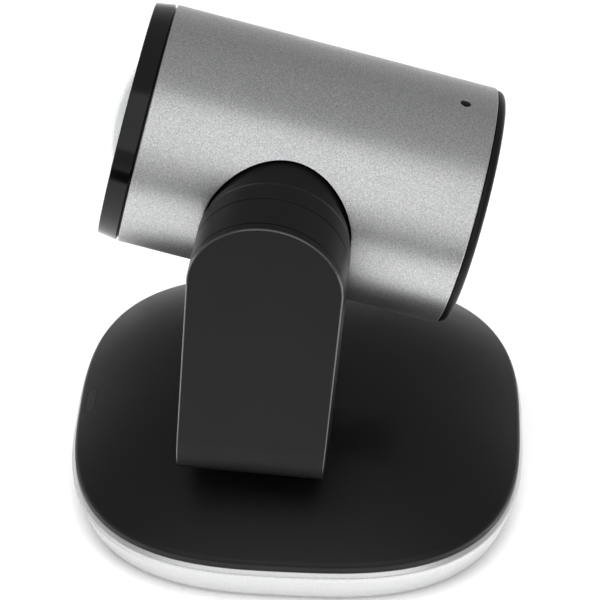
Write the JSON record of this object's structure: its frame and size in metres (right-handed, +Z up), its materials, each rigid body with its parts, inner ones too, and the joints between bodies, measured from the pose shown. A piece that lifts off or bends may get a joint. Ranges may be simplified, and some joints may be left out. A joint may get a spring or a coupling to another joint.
{
  "type": "ptz camera",
  "caption": "Conference camera on a squircle base: a one-sided arm pans on the base and a barrel head with a domed lens tilts on the arm.",
  "frame": {"origin": "on the pan axis, at the height of the feet's undersides", "axes": "+Z up along the pan axis; the lens faces -Y at pan zero, and the arm stands on the +X side"},
  "size_m": [0.1306, 0.1296, 0.1424],
  "materials": {
    "silver_shell": "bead-blasted satin silver metal",
    "black_satin": "satin moulded black plastic",
    "black_gloss": "polished black",
    "lens_glass": "clear coated glass",
    "dark_window": "dark infrared-clear window",
    "steel": "machined steel",
    "aluminium": "plain stamped aluminium",
    "brass": "turned brass",
    "rubber": "matt black rubber",
    "gear_plastic": "natural acetal",
    "circuit_board": "green solder resist"
  },
  "bodies": {
    "base": {"base_lower_shell": "silver_shell", "base_top_cover": "black_satin", "weight_plate": "steel", "main_board": "circuit_board", "foot_front_right": "rubber", "foot_front_left": "rubber", "foot_rear_right": "rubber", "foot_rear_left": "rubber", "tripod_insert": "brass", "usb_port": "steel", "power_port": "black_satin", "control_port": "black_satin", "sensor_window": "dark_window", "pan_motor": "steel", "bearing_plate": "aluminium", "pan_bearing": "steel", "base_screw_1": "steel", "base_screw_2": "steel", "base_screw_3": "steel", "base_screw_4": "steel"},
    "arm": {"arm_inner_shell": "black_satin", "arm_outer_cover": "black_satin", "pan_shaft": "steel", "pan_gear": "gear_plastic", "tilt_motor": "steel", "tilt_bearing": "steel", "arm_board": "circuit_board", "arm_screw_1": "steel", "arm_screw_2": "steel"},
    "head": {"head_shell": "silver_shell", "set_screw": "steel", "front_bezel": "black_gloss", "front_faceplate": "black_gloss", "lens_window": "lens_glass", "rear_cap": "black_satin", "rear_screw_1": "steel", "rear_screw_2": "steel", "rear_screw_3": "steel", "head_chassis": "aluminium", "tilt_shaft": "steel", "tilt_gear": "gear_plastic", "lens_barrel": "black_satin", "objective_lens": "lens_glass", "guide_rod_upper": "steel", "guide_rod_lower": "steel", "zoom_motor": "steel", "focus_motor": "steel", "image_sensor": "dark_window", "sensor_board": "circuit_board", "heat_sink": "aluminium", "processor_board": "circuit_board"},
    "zoom_group": {"zoom_carriage": "black_satin", "zoom_lens": "lens_glass"},
    "focus_group": {"focus_carriage": "black_satin", "focus_lens": "lens_glass"},
    "pan_pinion": {"pan_pinion": "brass"},
    "tilt_pinion": {"tilt_pinion": "brass"}
  },
  "joints": [
    {"name": "pan", "type": "hinge", "parent": "base", "child": "arm", "pos_m": [0, 0, 0.0318], "axis": [0, 0, 1], "range_deg": [-126, 134]},
    {"name": "tilt", "type": "hinge", "parent": "arm", "child": "head", "pos_m": [0.00134, -0.0023, 0.10187], "axis": [-0.9976, 0.0698, 0], "range_deg": [-52.5, 77.5]},
    {"name": "zoom", "type": "slide", "parent": "head", "child": "zoom_group", "axis": [0.0681, 0.9739, -0.2164], "range_m": [0, 0.012]},
    {"name": "focus", "type": "slide", "parent": "head", "child": "focus_group", "axis": [0.0681, 0.9739, -0.2164], "range_m": [-0.0015, 0.0015]},
    {"name": "pan_drive", "type": "hinge", "parent": "base", "child": "pan_pinion", "pos_m": [0, -0.0243, 0.0132], "axis": [0, 0, 1], "range_deg": [-268, 252]},
    {"name": "tilt_drive", "type": "hinge", "parent": "arm", "child": "tilt_pinion", "pos_m": [0.04623, -0.00544, 0.07757], "axis": [-0.9976, 0.0698, 0], "range_deg": [-155, 105]}
  ],
  "couplings": [
    {"joint": "pan_drive", "follows": "pan", "ratio": -2},
    {"joint": "tilt_drive", "follows": "tilt", "ratio": -2}
  ]
}
